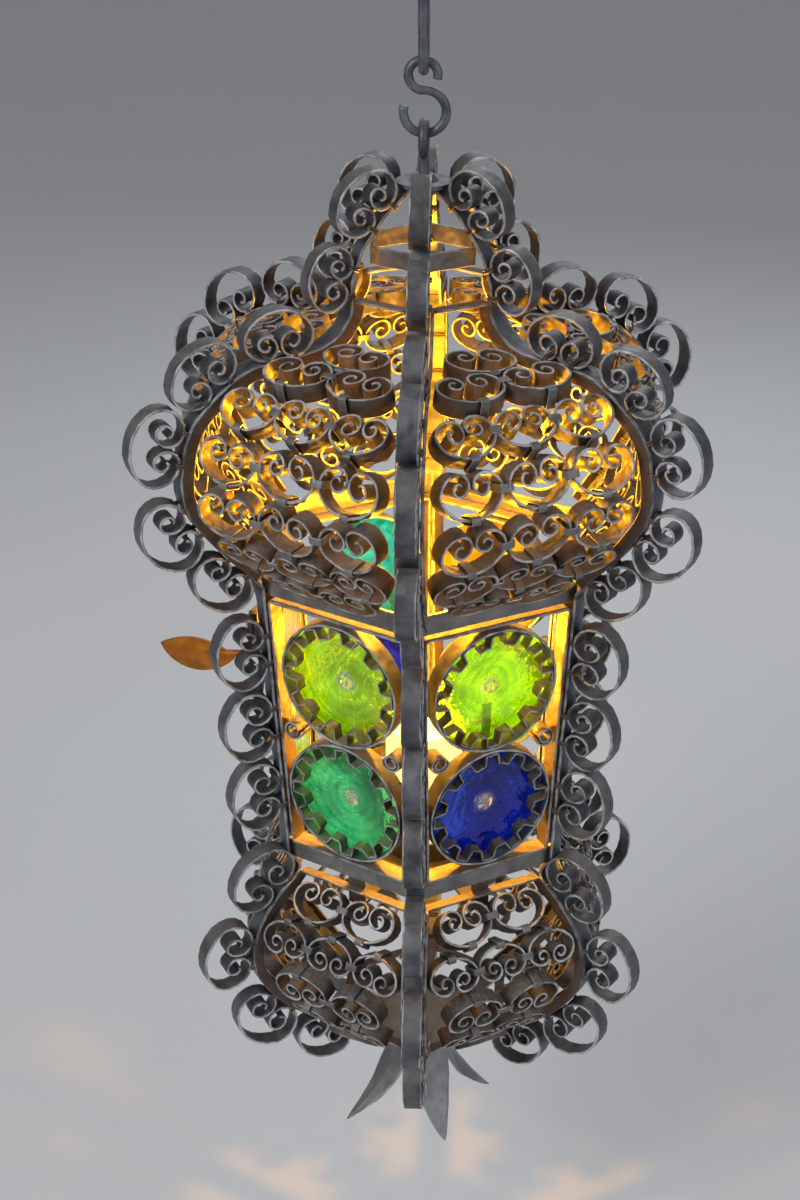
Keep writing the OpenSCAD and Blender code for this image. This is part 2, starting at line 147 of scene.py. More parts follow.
def on_rib(angle, way, s, off=0.0, side=0.0):
    """Origin is the way's point at s plus off times its normal; the normal is the direction turned by 90."""
    r, z, dr, dz = way.at(s)
    n = np.array([-dz, 0, dr])
    c = np.array([r, 0, z]) + n * off + np.array([0, -side, 0])
    return place(angle, [[dr, 0, dz], n, [0, -1, 0]], c)


def on_panel(angle, way, s, across=0.0, off=0.0, flip=1):
    """The middle of a side is nearer the axis than its corners are, so the radius is times cos 30."""
    r, z, dr, dz = way.at(s)
    n = np.array([-dz, 0, dr])
    c = np.array([r * math.cos(math.radians(30)), 0, z]) + n * off + np.array([0, across, 0])
    return place(angle, [[0, -flip, 0], [dr * flip, 0, dz * flip], n], c)


def on_body(angle, z, across=0.0, off=0.0):
    """The side's distance from the axis falls evenly from the upper rail to the lower, times cos 30."""
    a = (TOP_R + (z - TOP_Z) * (TOP_R - FOOT_R) / (TOP_Z - FOOT_Z)) * math.cos(math.radians(30))
    c, s = math.cos(LEAN), math.sin(LEAN)
    out, up = np.array([c, 0, -s]), np.array([s, 0, c])
    return place(angle, [out, [0, 1, 0], up], np.array([a, across, z]) + out * off)


def put(m, p):
    """Local points through a placement: each is the matrix times the point, plus the origin."""
    return p @ m[:, :3].T + m[:, 3]


sample = on_body(0, UPPER_Z)
print("upper window: centre", np.round(sample[:, 3], 1), "outward", np.round(sample[:, 0], 3))

# %% [markdown]
# ## Building meshes
#
# `Pile` collects vertex grids and their faces as whole arrays, then makes one mesh object. Each vertex
# carries `edge`, which runs from -1 to 1 across a bar, so that a material knows how near an edge is, and
# `tone`, a number drawn once for each strip, so that no two strips have quite the same colour.
# The bmesh module could build the same grid one face at a time, but whole arrays are shorter and far
# quicker.

# %% Building meshes
class Pile:
    """Vertex grids gathered into one mesh: v points, e edge values, t tones, f faces, n points so far."""

    def __init__(self):
        """Empty lists, which grid fills and make joins end to end."""
        self.v, self.e, self.t, self.f, self.n = [], [], [], [], 0

    def grid(self, p, edge=0.0, tone=None, wrap_u=False):
        """A grid of rows x columns of points, in mm. Columns run round a section; rows run along it. The sum
        of each face's normal times its place is a volume: if it comes out negative, the faces are turned."""
        rows, cols = p.shape[:2]
        i = np.arange(rows * cols).reshape(rows, cols) + self.n
        a = np.vstack([i, i[:1]]) if wrap_u else i
        b = np.hstack([a, a[:, :1]])
        quads = np.stack([b[:-1, :-1], b[1:, :-1], b[1:, 1:], b[:-1, 1:]], -1).reshape(-1, 4)
        q = (p.reshape(-1, 3) - p.reshape(-1, 3).mean(0))[quads - self.n]
        face = np.cross(q[:, 2] - q[:, 0], q[:, 3] - q[:, 1])
        way = 1 if (face * q.sum(1)).sum() > 0 else -1
        self.f.append(quads[:, ::way])
        if not wrap_u:
            self.f.append(i[:1, ::way])
            self.f.append(i[-1:, ::-way])
        self.v.append(p.reshape(-1, 3))
        self.e.append(np.broadcast_to(edge, (rows, cols)).reshape(-1))
        self.t.append(np.full(rows * cols, rng.random() if tone is None else tone))
        self.n += rows * cols

    def make(self, name, material, body, nodes=(), weighted=True):
        """Writes the arrays to a mesh, with faces of any size, and hangs it on its CAD body."""
        v = np.vstack(self.v).astype(np.float32) * MM
        v[:, 2] -= HANG * MM
        loops = np.concatenate([f.reshape(-1) for f in self.f]).astype(np.int32)
        sizes = np.concatenate([np.full(len(f), f.shape[1]) for f in self.f]).astype(np.int32)
        mesh = bpy.data.meshes.new(name)
        mesh.vertices.add(len(v))
        mesh.vertices.foreach_set("co", v.reshape(-1))
        mesh.loops.add(len(loops))
        mesh.loops.foreach_set("vertex_index", loops)
        mesh.polygons.add(len(sizes))
        mesh.polygons.foreach_set("loop_start", np.concatenate([[0], np.cumsum(sizes)[:-1]]).astype(np.int32))
        mesh.polygons.foreach_set("loop_total", sizes)
        mesh.polygons.foreach_set("use_smooth", np.full(len(sizes), True))
        mesh.update(calc_edges=True)
        for label, data in (("edge", self.e), ("tone", self.t)):
            mesh.attributes.new(label, "FLOAT", "POINT").data.foreach_set(
                "value", np.concatenate(data).astype(np.float32))
        mesh.validate()
        mesh.materials.append(material)
        obj = bpy.data.objects.new(name, mesh)
        bpy.context.scene.collection.objects.link(obj)
        if weighted:
            obj.modifiers.new("flat faces", "WEIGHTED_NORMAL").weight = 80
        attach(obj, body)
        if nodes:
            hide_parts(*nodes)
        print(name, "faces", len(sizes), "box", np.round(v.min(0), 3), np.round(v.max(0), 3))
        return obj


print("pile: points in mm, written at", MM, "m each and lowered by", HANG * MM, "m")

# %% [markdown]
# ## Straps and wires
#
# `strap` sweeps a flat bar's section along a centreline. The section is a rectangle with its corners cut:
# eight points are enough, because the scroll is repeated some 250 times. Forging shows as slow
# changes in width, thickness and line: each is a sum of a few sine waves with random phases.
# A curve with a bevel object would give the same bar. A section written out was chosen because its
# corners can be cut and its width can wander.

# %% Straps and wires
def waves(s, size, length, count=4):
    """Sum of sines along s, each with a random phase and a length near the one given."""
    k = 2 * np.pi / (length * rng.uniform(0.5, 1.8, count))
    return size * np.sin(s[:, None] * k + rng.uniform(0, 6.28, count)).sum(1) / math.sqrt(count)


def directions(p, closed):
    """Next point minus the last one, made a unit long; a closed line goes round its ends."""
    d = np.roll(p, -1, 0) - np.roll(p, 1, 0) if closed else np.gradient(p, axis=0)
    return d / np.linalg.norm(d, axis=1)[:, None]


def strap(pile, p, across, width=BAR, thick=1.8, closed=False, rough=1.0, tone=None):
    """Bar along centreline p: a point is p + a*across + b*face, where face is the line's direction crossed
    with across, and (a, b) runs round the section."""
    t = directions(p, closed)
    w = np.broadcast_to(across, p.shape)
    n = np.cross(t, w)
    n /= np.linalg.norm(n, axis=1)[:, None]
    w = np.cross(n, t)
    s = np.concatenate([[0], np.cumsum(np.linalg.norm(np.diff(p, axis=0), axis=1))])
    fade = np.abs(np.sin(np.pi * s / s[-1])) ** 0.5 if closed else 1.0
    half = width / 2 * (1 + rough * waves(s, 0.018, 17) * fade)
    h = thick / 2 * (1 + rough * waves(s, 0.07, 11) * fade)
    line = p + n * (rough * waves(s, 0.12, 21) * fade)[:, None]
    c = min(0.36, thick * 0.25)
    a = np.array([1, 1, -1, -1, -1, -1, 1, 1.0])
    back = np.array([0, c, c, 0, 0, c, c, 0])
    b = np.array([1, 1, 1, 1, -1, -1, -1, -1.0])
    low = np.array([c, 0, 0, c, c, 0, 0, c])
    u = half[:, None] * a - back * a
    v = h[:, None] * b - low * b
    grid = line[:, None] + u[..., None] * w[:, None] + v[..., None] * n[:, None]
    pile.grid(grid, edge=a - back * a / (width / 2), tone=tone, wrap_u=closed)


def wire(pile, p, radius, closed=False, sides=12, rough=0.03, tone=None):
    """Round bar along p: a circle carried along the line without twisting, its radius a little uneven."""
    t = directions(p, closed)
    ref = np.array([0, 0, 1.0]) if abs(t[:, 2]).mean() < 0.8 else np.array([1.0, 0, 0])
    plane = np.cross(p - p.mean(0), t).sum(0)
    if np.linalg.norm(plane) > 1e-6:
        ref = plane / np.linalg.norm(plane)
    a = np.cross(t, ref)
    a /= np.linalg.norm(a, axis=1)[:, None]
    b = np.cross(t, a)
    s = np.concatenate([[0], np.cumsum(np.linalg.norm(np.diff(p, axis=0), axis=1))])
    k = np.linspace(0, 2 * np.pi, sides, endpoint=False)
    fade = np.abs(np.sin(np.pi * s / s[-1])) ** 0.5 if closed else 1.0
    r = (radius * (1 + waves(s, rough, 9) * fade))[:, None]
    pile.grid(p[:, None] + (r * np.cos(k))[..., None] * a[:, None] + (r * np.sin(k))[..., None] * b[:, None],
              edge=0.25, tone=tone, wrap_u=closed)


bar_line = np.column_stack([np.zeros(9), np.zeros(9), np.linspace(0, 100, 9)])
print("a straight bar of nine points runs along", directions(bar_line, False)[0])

# %% [markdown]
# ## The C-scroll
#
# One shape makes the whole lantern: a strip whose middle is a broad arc and whose two ends roll inward.
# Each half is a chain of arcs that meet in line, of radius 26, 13, 7.8, 4.8 and 2.6 mm at size 1. The radii
# of the rolled part change a little from one scroll to the next, as they do when rolled by hand.
# A true spiral would be one formula; arcs were chosen because a smith bends the strip round pegs, and
# arcs that meet in line have no kink.

# %% The C-scroll
def scroll_line(size, curl=1.0, tight=1.0):
    """Half a scroll: start on the top of the first arc, and turn on through each, clockwise."""
    arcs = [(26.0, 45, 3), (13.0, 135, 6), (7.8 * curl, 160 * tight, 6), (4.8 * curl, 165 * tight, 6),
            (2.6 * curl, 110, 4)]
    centre, angle = np.array([0.0, -8.0]), 90.0
    pts = [np.array([[0.0, 18.0]])]
    last = None
    for radius, sweep, count in arcs:
        if last is not None:
            centre = centre + (last - radius) * np.array([math.cos(math.radians(angle)),
                                                          math.sin(math.radians(angle))])
        k = np.radians(angle - np.linspace(0, sweep, count + 1)[1:])
        pts.append(centre + radius * np.column_stack([np.cos(k), np.sin(k)]))
        angle, last = angle - sweep, radius
    return np.vstack(pts) * size


def scroll(pile, m, size, width=BAR, thick=1.7, loose=1.0, lean=1.6, tone=None):
    """Both halves joined into one strip, turned and tipped by a degree or two, at a placement."""
    right = scroll_line(size, 1 + loose * rng.normal(0, 0.05), 1 + loose * rng.normal(0, 0.05))
    left = scroll_line(size, 1 + loose * rng.normal(0, 0.05), 1 + loose * rng.normal(0, 0.05))
    line = np.vstack([left[:0:-1] * [-1, 1], right])
    p = np.column_stack([line, np.zeros(len(line))])
    spin = math.radians(np.clip(rng.normal(0, lean), -2.2 * lean, 2.2 * lean))
    tip = np.radians(rng.normal(0, 1.4, 2) * loose)
    c, s = math.cos(spin), math.sin(spin)
    p = p @ np.array([[c, s, 0], [-s, c, 0], [0, 0, 1.0]])
    p[:, 2] += p[:, 0] * tip[0] + p[:, 1] * tip[1] + loose * rng.normal(0, 0.25)
    axis = np.array([-tip[0], -tip[1], 1.0])
    strap(pile, put(m, p), m[:, :3] @ (axis / np.linalg.norm(axis)), width, thick, tone=tone)


half = scroll_line(1.0)
print("half scroll points", len(half), "reach", half.max(0), half.min(0))

# %% [markdown]
# ## Shader groups
#
# Three effects are used by several finishes, so each is a node group built once: the facets left by a
# hammer, the bright worn edge of a bar, and rust with dust on what faces up. A small helper adds a node and
# fills or links its inputs, which keeps each recipe readable.
# The nodes could be copied into each material, but a group is changed in one place.

# %% Shader helpers and hammer facets
def node(tree, kind, inputs=None, **settings):
    """A node with its settings; an input that is a socket is linked, and a number is filled in."""
    n = tree.nodes.new(kind)
    for key, value in settings.items():
        setattr(n, key, value)
    for key, value in (inputs or {}).items():
        if isinstance(value, bpy.types.NodeSocket):
            tree.links.new(value, n.inputs[key])
        else:
            n.inputs[key].default_value = value
    return n


def calc(tree, operation, a, b=0.0, clamp=False):
    """One Math node: a and b through the named operation, held to 0..1 if clamp is set."""
    return node(tree, "ShaderNodeMath", {0: a, 1: b}, operation=operation, use_clamp=clamp).outputs[0]


def mix(tree, share, a, b):
    """Colour a times (1 - share) plus colour b times share."""
    n = node(tree, "ShaderNodeMix", {0: share}, data_type="RGBA")
    for slot, value in ((6, a), (7, b)):
        if isinstance(value, bpy.types.NodeSocket):
            tree.links.new(value, n.inputs[slot])
        else:
            n.inputs[slot].default_value = (*value, 1.0)
    return n.outputs[2]


def span(tree, value, low, high, to_low=0.0, to_high=1.0):
    """Value mapped from low..high to another range, and held inside it."""
    return node(tree, "ShaderNodeMapRange", {0: value, 1: low, 2: high, 3: to_low, 4: to_high}).outputs[0]


def group(name, inputs, outputs):
    """An empty shader group with named sockets: its tree, what it is given and what it puts out."""
    tree = bpy.data.node_groups.new(name, "ShaderNodeTree")
    for label, kind, value in inputs:
        socket = tree.interface.new_socket(label, in_out="INPUT", socket_type=kind)
        if value is not None:
            socket.default_value = value
    for label, kind in outputs:
        tree.interface.new_socket(label, in_out="OUTPUT", socket_type=kind)
    return tree, tree.nodes.new("NodeGroupInput").outputs, tree.nodes.new("NodeGroupOutput").inputs


FLOAT, VECTOR = "NodeSocketFloat", "NodeSocketVector"
hammer, given, out = group("hammer facets", [("Place", VECTOR, None), ("Facet", FLOAT, 180.0)],
                           [("Height", FLOAT), ("Speck", FLOAT)])
warp = node(hammer, "ShaderNodeTexNoise", {"Vector": given["Place"], "Scale": 60.0, "Detail": 2.0})
bent = node(hammer, "ShaderNodeMixRGB", {0: 0.006, 1: given["Place"], 2: warp.outputs["Color"]})
facets = node(hammer, "ShaderNodeTexVoronoi", {"Vector": bent.outputs[0], "Scale": given["Facet"],
                                               "Smoothness": 0.6}, feature="SMOOTH_F1")
grit = node(hammer, "ShaderNodeTexNoise", {"Vector": given["Place"], "Scale": 1400.0, "Detail": 3.0})
deep = calc(hammer, "MULTIPLY", facets.outputs["Distance"], 1.2)
fine = calc(hammer, "MULTIPLY", grit.outputs[0], 0.22)
hammer.links.new(calc(hammer, "ADD", deep, fine), out["Height"])
hammer.links.new(grit.outputs[0], out["Speck"])
print("hammer facets:", len(hammer.nodes), "nodes")

# %% [markdown]
# The wear mask is high where a bar's edge is near, and it is broken up by noise so that the bright line
# comes and goes as it does on handled iron.

# %% Edge wear, rust and dust
wear, given, out = group("edge wear", [("Place", VECTOR, None), ("Edge", FLOAT, 0.0), ("Reach", FLOAT, 0.8)],
                         [("Mask", FLOAT)])
rub = node(wear, "ShaderNodeTexNoise", {"Vector": given["Place"], "Scale": 120.0, "Detail": 4.0})
near = calc(wear, "ABSOLUTE", given["Edge"])
push = calc(wear, "MULTIPLY_ADD", rub.outputs[0], 0.5)
wear.nodes[-1].inputs[2].default_value = -0.25
where = calc(wear, "SUBTRACT", calc(wear, "ADD", near, push), given["Reach"])
wear.links.new(span(wear, where, 0.0, 0.16), out["Mask"])

grime, given, out = group("rust and dust", [("Place", VECTOR, None), ("Rust", FLOAT, 0.5),
                                            ("Dust", FLOAT, 0.5)], [("Rust", FLOAT), ("Dust", FLOAT)])
broad = node(grime, "ShaderNodeTexNoise", {"Vector": given["Place"], "Scale": 38.0, "Detail": 5.0,
                                           "Roughness": 0.65})
spots = node(grime, "ShaderNodeTexNoise", {"Vector": given["Place"], "Scale": 420.0, "Detail": 3.0})
both = calc(grime, "ADD", calc(grime, "MULTIPLY", broad.outputs[0], 0.7),
            calc(grime, "MULTIPLY", spots.outputs[0], 0.3))
limit = span(grime, given["Rust"], 0.0, 1.0, 0.68, 0.36)
patch = calc(grime, "MULTIPLY", calc(grime, "SUBTRACT", both, limit), 7.0, clamp=True)
grime.links.new(patch, out["Rust"])
shape = node(grime, "ShaderNodeNewGeometry")
facing = node(grime, "ShaderNodeSeparateXYZ", {0: shape.outputs["Normal"]})
lying = calc(grime, "MULTIPLY", span(grime, facing.outputs["Z"], 0.1, 1.0), given["Dust"])
patchy = span(grime, spots.outputs[0], 0.3, 0.65, 0.35, 1.0)
grime.links.new(calc(grime, "MULTIPLY", lying, patchy), out["Dust"])
print("edge wear:", len(wear.nodes), "rust and dust:", len(grime.nodes), "nodes")

# %% [markdown]
# ## Wrought iron
#
# The bars are old iron with a dark blue-grey skin, brown rust in patches, pale dust on top and silver
# edges. `iron` builds one finish from the three groups. Six finishes differ in how blue, how rusty and how
# strongly hammered they are: heavy ribs, panel scrolls, fringe scrolls, the rusty inner frames, wrapped
# bands and the pale leaves.
# A painted image could colour one bar well. Noise in Object coordinates was chosen because it has no
# seams and covers hundreds of strips without unwrapping.

# %% Wrought iron
def new_material(name):
    """A material that is one Principled shader, which the recipes below feed."""
    material = bpy.data.materials.new(name)
    material.use_nodes = True
    tree = material.node_tree
    tree.nodes.clear()
    sink = tree.nodes.new("ShaderNodeOutputMaterial")
    skin = tree.nodes.new("ShaderNodeBsdfPrincipled")
    tree.links.new(skin.outputs[0], sink.inputs[0])
    return material, tree, skin


def plug(tree, kind, inputs):
    """A group placed in a material with its own values; gives back its outputs by name."""
    n = tree.nodes.new("ShaderNodeGroup")
    n.node_tree = kind
    for key, value in inputs.items():
        if isinstance(value, bpy.types.NodeSocket):
            tree.links.new(value, n.inputs[key])
        else:
            n.inputs[key].default_value = value
    return n.outputs


def feed(tree, skin, **links):
    """Links each socket to the shader's input of that name, with _ for a space."""
    for key, value in links.items():
        tree.links.new(value, skin.inputs[key.replace("_", " ")])


def iron(name, dark, light, rust=0.4, dust=0.4, facet=150.0, dent=0.5, reach=0.9, bright=0.36,
         metal=0.75):
    """Colour is dark to light by a cloud, then tone, rust, dust and wear over it in that order. Roughness
    rises with rust and dust and falls with wear; metal falls with rust and dust."""
    material, tree, skin = new_material(name)
    spot_on = node(tree, "ShaderNodeTexCoord").outputs["Object"]
    edge = node(tree, "ShaderNodeAttribute", attribute_name="edge").outputs["Fac"]
    tone = node(tree, "ShaderNodeAttribute", attribute_name="tone").outputs["Fac"]
    dents = plug(tree, hammer, {"Place": spot_on, "Facet": facet})
    worn = plug(tree, wear, {"Place": spot_on, "Edge": edge, "Reach": reach})["Mask"]
    dirt = plug(tree, grime, {"Place": spot_on, "Rust": rust, "Dust": dust})
    cloud = node(tree, "ShaderNodeTexNoise", {"Vector": spot_on, "Scale": 75.0, "Detail": 4.0})
    base = mix(tree, span(tree, cloud.outputs[0], 0.32, 0.68), dark, light)
    base = mix(tree, span(tree, tone, 0.0, 1.0, 0.0, 0.35), base, (0.10, 0.082, 0.07))
    brown = mix(tree, dents["Speck"], (0.07, 0.035, 0.018), (0.20, 0.105, 0.055))
    base = mix(tree, dirt["Rust"], base, brown)
    base = mix(tree, dirt["Dust"], base, (0.30, 0.265, 0.23))
    base = mix(tree, worn, base, (bright, bright * 1.0, bright * 1.03))
    rough = span(tree, cloud.outputs[0], 0.3, 0.7, 0.40, 0.62)
    rough = calc(tree, "ADD", rough, calc(tree, "MULTIPLY", dirt["Rust"], 0.25))
    rough = calc(tree, "ADD", rough, calc(tree, "MULTIPLY", dirt["Dust"], 0.25), clamp=True)
    rough = calc(tree, "SUBTRACT", rough, calc(tree, "MULTIPLY", worn, 0.12), clamp=True)
    clean = calc(tree, "SUBTRACT", metal, calc(tree, "ADD", calc(tree, "MULTIPLY", dirt["Rust"], 0.55),
                                              dirt["Dust"]), clamp=True)
    bump = node(tree, "ShaderNodeBump", {"Height": dents["Height"], "Strength": dent, "Distance": 0.0009})
    feed(tree, skin, Base_Color=base, Roughness=rough, Metallic=clean, Normal=bump.outputs[0])
    return material


rib_iron = iron("forged ribs", (0.095, 0.105, 0.13), (0.23, 0.25, 0.295), rust=0.2, dust=0.35, facet=110,
                dent=0.9, reach=0.9, bright=0.62)
scroll_iron = iron("rolled scrolls", (0.085, 0.075, 0.070), (0.215, 0.19, 0.17), rust=0.5, dust=0.6,
                   facet=190, dent=0.6, reach=0.90, bright=0.60, metal=0.6)
fringe_iron = iron("fringe scrolls", (0.075, 0.078, 0.09), (0.225, 0.23, 0.25), rust=0.3, dust=0.4,
                   facet=120, dent=0.9, reach=0.88, bright=0.66, metal=0.72)
frame_iron = iron("rusty inner frames", (0.085, 0.07, 0.06), (0.18, 0.145, 0.115), rust=0.7, dust=0.55,
                  facet=160, dent=0.6, bright=0.45, metal=0.6)
band_iron = iron("wrapped bands", (0.17, 0.165, 0.165), (0.33, 0.32, 0.315), rust=0.3, dust=0.4, facet=160,
                 dent=0.6, bright=0.6)
leaf_iron = iron("pale beaten leaves", (0.24, 0.245, 0.255), (0.43, 0.43, 0.435), rust=0.3, dust=0.3,
                 facet=90, dent=0.6, bright=0.75)
print("iron finishes made")

# %% [markdown]
# ## The six ribs
#
# Each rib is one flat bar bent to the outline, in three lengths: dome, body post and basket. Its broad face
# looks outward. The bar runs across the rib plane, so `across` is the direction round the lantern.
# A plane with Solidify could stand in for a bar; a swept section was chosen because it shows the cut
# corners and the uneven forging.

# %% The six ribs
def rib_line(angle, way, first, last, off=0.0, side=0.0, step=3.2):
    """Points at equal steps along a way, moved off along its normal and sideways, with those normals."""
    s = np.linspace(first, last, max(3, int(abs(last - first) / step)))
    r, z, dr, dz = way.at(s)
    flat = np.full(len(s), side)
    p = np.column_stack([r - dz * off, flat, z + dr * off])
    n = np.column_stack([-dz, flat * 0, dr])
    return p @ turn(angle).T, n @ turn(angle).T


def rib_bar(pile, angle, way, tone):
    """A flat bar whose centreline is the whole way, and whose width lies round the lantern."""
    p, _ = rib_line(angle, way, 0, way.s[-1])
    strap(pile, p, turn(angle)[:, 1], BAR, 2.0, rough=1.3, tone=tone)


ribs = Pile()
for angle in RIBS:
    tone = rng.random()
    for way in (dome, post, basket):
        rib_bar(ribs, angle, way, tone)
rib_piece = ribs.make("ribs", rib_iron, "lantern", ["dome_ribs", "body_posts", "basket_ribs"])

# %% [markdown]
# ## Edge scrolls
#
# A fringe of scrolls stands on each rib, arc outward and curls against the bar. Seven stand on the dome,
# three on the body and four on the basket. The numbers are the distance along the way and the size.
# Linked copies of one scroll would be lighter. Each is swept anew because hand-rolled curls all differ.

# %% Edge scrolls
DOME_FANS = [[23, .98], [64.5, .88], [138, .97], [181, 1.02], [221, 1.08], [268, 1.08], [313, .98]]
BODY_FANS = [[42, 1.1], [95, 1.1], [147.5, 1.1]]
BASKET_FANS = [[34, 1.12], [84, 1.12], [136, 1.12], [184, .95]]


def fringe(name, way, fans, cad):
    """One scroll at each place of the list, on all six ribs."""
    pile = Pile()
    for angle in RIBS:
        for s, size in fans:
            scroll(pile, on_rib(angle, way, s, 1.4 + 12.6 * size), size)
    piece = pile.make(name, fringe_iron, "lantern", [cad])


fringe("dome_fringe", dome, DOME_FANS, "dome_edge_scrolls")
fringe("body_fringe", post, BODY_FANS, "body_edge_scrolls")
fringe("basket_fringe", basket, BASKET_FANS, "basket_edge_scrolls")

# %% [markdown]
# ## Panel scrolls
#
# The gore between two ribs is filled with rows of the same scroll lying in the panel. A row is a distance
# along the way, a count, a pitch and a size; in the basket, 1 sets the arc down and -1 sets it up. Where two
# neighbours touch, a small band is wrapped round both strips: that is the collar.
# An Array modifier could lay out a row, but it would repeat one scroll exactly and could not follow the
# bulge of the dome.

# %% Panel scrolls
NECK = dome.near(65, 187)
DOME_ROWS = [[17, 1, 0, .95], [49.5, 2, 43.4, .92], [81.5, 3, 38.4, .82], [113, 3, 42.6, .88],
             [145.5, 3, 42.8, .88], [177.5, 3, 40.4, .85], [206, 2, 42.6, .84]]
BASKET_ROWS = [[33, 2, 39.6, .82, 1], [66.5, 3, 35.8, .74, -1], [98, 2, 44, .84, -1],
               [127.5, 2, 39.6, .78, -1], [157, 1, 0, .84, -1]]


def loop_round(m, a, b, corner=0.9):
    """Eight points round a rectangle a by b in a placement's x and z, with cut corners."""
    x, z = a / 2, b / 2
    q = np.array([[x, 0, z - corner], [x - corner, 0, z], [corner - x, 0, z], [-x, 0, z - corner],
                  [-x, 0, corner - z], [corner - x, 0, -z], [x - corner, 0, -z], [x, 0, corner - z]])
    return put(m, q)


def collar(pile, m, a, b, width=4.5, thick=0.9):
    """A thin band wrapped round a rectangle a by b, standing across the placement's y."""
    strap(pile, loop_round(m, a, b), m[:, 1], width, thick, closed=True, rough=0.5)


def shifted(m, v):
    """The same axes with the origin moved to the local point v."""
    out = m.copy()
    out[:, 3] = put(m, np.array(v, float))
    return out


def panel(pile, bands, angle, way, start, rows):
    """Scroll i of a row stands at (i - (count - 1) / 2) pitches from the panel's middle. One collar joins
    each scroll to the row behind it, and one joins it to its neighbour."""
    for row in rows:
        s, count, pitch, size = row[:4]
        flip = row[4] if len(row) > 4 else 1
        for i in range(count):
            m = on_panel(angle, way, start + s, (i - (count - 1) / 2) * pitch, -0.5, flip)
            scroll(pile, m, size * rng.uniform(1.0, 1.05), loose=1.4, lean=4.0)
            if row is not rows[-1]:
                crown = np.column_stack([m[:, 1], -m[:, 0], m[:, 2], put(m, np.array([0, 18.7 * size, 0]))])
                collar(bands, crown, 4.6, BAR + 1.4, width=5.5)
            if i < count - 1:
                tie = shifted(m, [-flip * pitch / 2, 1.2 * size, 0])
                gap = pitch - 44.4 * size
                collar(bands, tie, gap + 5.2, BAR + 1.6)


collars = Pile()
for k, angle in enumerate(PANELS):
    gore = Pile()
    panel(gore, collars, angle, dome, NECK, DOME_ROWS)
    gore.make(f"dome_panel_{k + 1}", scroll_iron, "lantern", [f"dome_scrolls_{k + 1}"])
skirt = Pile()
for angle in PANELS:
    panel(skirt, collars, angle, basket, 0, BASKET_ROWS)
skirt.make("basket_panels", scroll_iron, "lantern", ["basket_scrolls"])
collars.make("scroll_collars", band_iron, "lantern")

# %% [markdown]
# ## Gore frames
#
# A thin strap stands on edge beside each rib and borders the panel, and short cross straps close its ends.
# Twists of wire bind the strap and each fringe scroll to the rib.
# The wires could be tori; a closed wire round a rectangle was chosen because real wire is pulled tight
# over the corners of the bar.

# %% Gore frames and wires
def gore_frame(pile, angle, way, first, last, wide, ends):
    """A strap on each side, 7.3 mm from the rib's middle plane, then one across for each entry of ends: its
    distance along the way, how far it stops short of the corner, and how deep it stands."""
    for s in (-1, 1):
        p, n = rib_line(angle + 30 * s, way, first, last, 1 - wide / 2, -7.3 * s)
        strap(pile, p, n, wide, 1.8)
    for s, inset, depth in ends:
        r, z, _, _ = way.at(s)
        half = r / 2 - inset
        y = np.linspace(-half, half, 9)
        p = np.column_stack([np.full(9, r * math.cos(math.radians(30)) + depth), y, np.full(9, z - 1)])
        strap(pile, p @ turn(angle).T, turn(angle)[:, 0], 7.0, 1.9)


dome_first, dome_last = dome.near(50.6, 212), dome.near(119, 44)
low_first, low_last = basket.near(95.5, -176), basket.near(60, -318)
gores = Pile()
for angle in PANELS:
    gore_frame(gores, angle, dome, dome_first, dome_last, 7.5, [(dome_first, 7, 0.5)])
    gore_frame(gores, angle, basket, low_first, low_last, 7, [(low_first, 6.6, 0.2), (low_last, 6.6, 2)])
gores.make("gore_frames", frame_iron, "lantern", ["dome_frames", "basket_frames"])

ties = Pile()
for angle in RIBS:
    for way, fans in ((dome, DOME_FANS), (post, BODY_FANS), (basket, BASKET_FANS)):
        for s, size in fans:
            for side in (-1, 1):
                m = on_rib(angle, way, s + side * 9.2 * size, 0.9)
                for k in (-0.85, 0.85):
                    ring = loop_round(place(0, [[0, 1, 0], [1, 0, 0], [0, 0, 1]], [k, 0, 0]), 5.4, 13.6)
                    wire(ties, put(m, ring), 0.75, closed=True, sides=6, rough=0.0)
                if side > 0:
                    k = np.linspace(0, 1, 7)[:, None]
                    tail = np.hstack([1.2 * np.sin(9 * k), 2.6 + 3 * k, 6.6 * np.sign(rng.normal()) + 0 * k])
                    sway = rng.normal(0, 2.5, 3) + [0, 2.0, 0]
                    wire(ties, put(m, tail + k * sway), 0.7, sides=6, rough=0.0)
ties.make("binding_wires", frame_iron, "lantern")

# %% [markdown]
# ## Rails
#
# Three six-sided hoops tie the ribs together from inside: one in the neck and one at each end of the body.
# Each is a flat bar on edge, bent at the corners, so its path is a hexagon with points closer together at
# the bends.
# A six-sided cylinder with Solidify would do, though its corners would be sharper than a bent bar's.

# %% Rails
def hexagon(apothem, z):
    """Corner to corner at even angles; each side is a straight line shared by sixty degrees."""
    share = np.array([0.0, 0.02, 0.06, 0.2, 0.35, 0.5, 0.65, 0.8, 0.94, 0.98])
    corners = np.radians(30 + 60 * np.arange(7))
    c = apothem / math.cos(math.radians(30)) * np.column_stack([np.cos(corners), np.sin(corners)])
    p = (c[:-1, None] * (1 - share[:, None]) + c[1:, None] * share[:, None]).reshape(-1, 2)
    return np.column_stack([p, np.full(len(p), z)])


RAILS = [(96.2, 36.5, 13), (86, -160, 13), (30, 235.5, 11)]
rails = Pile()
for apothem, z, wide in RAILS:
    strap(rails, hexagon(apothem, z), np.array([0, 0, 1.0]), wide, 2.2, closed=True)
rails.make("rails", band_iron, "lantern", ["dome_rail", "body_rail", "top_ring"])

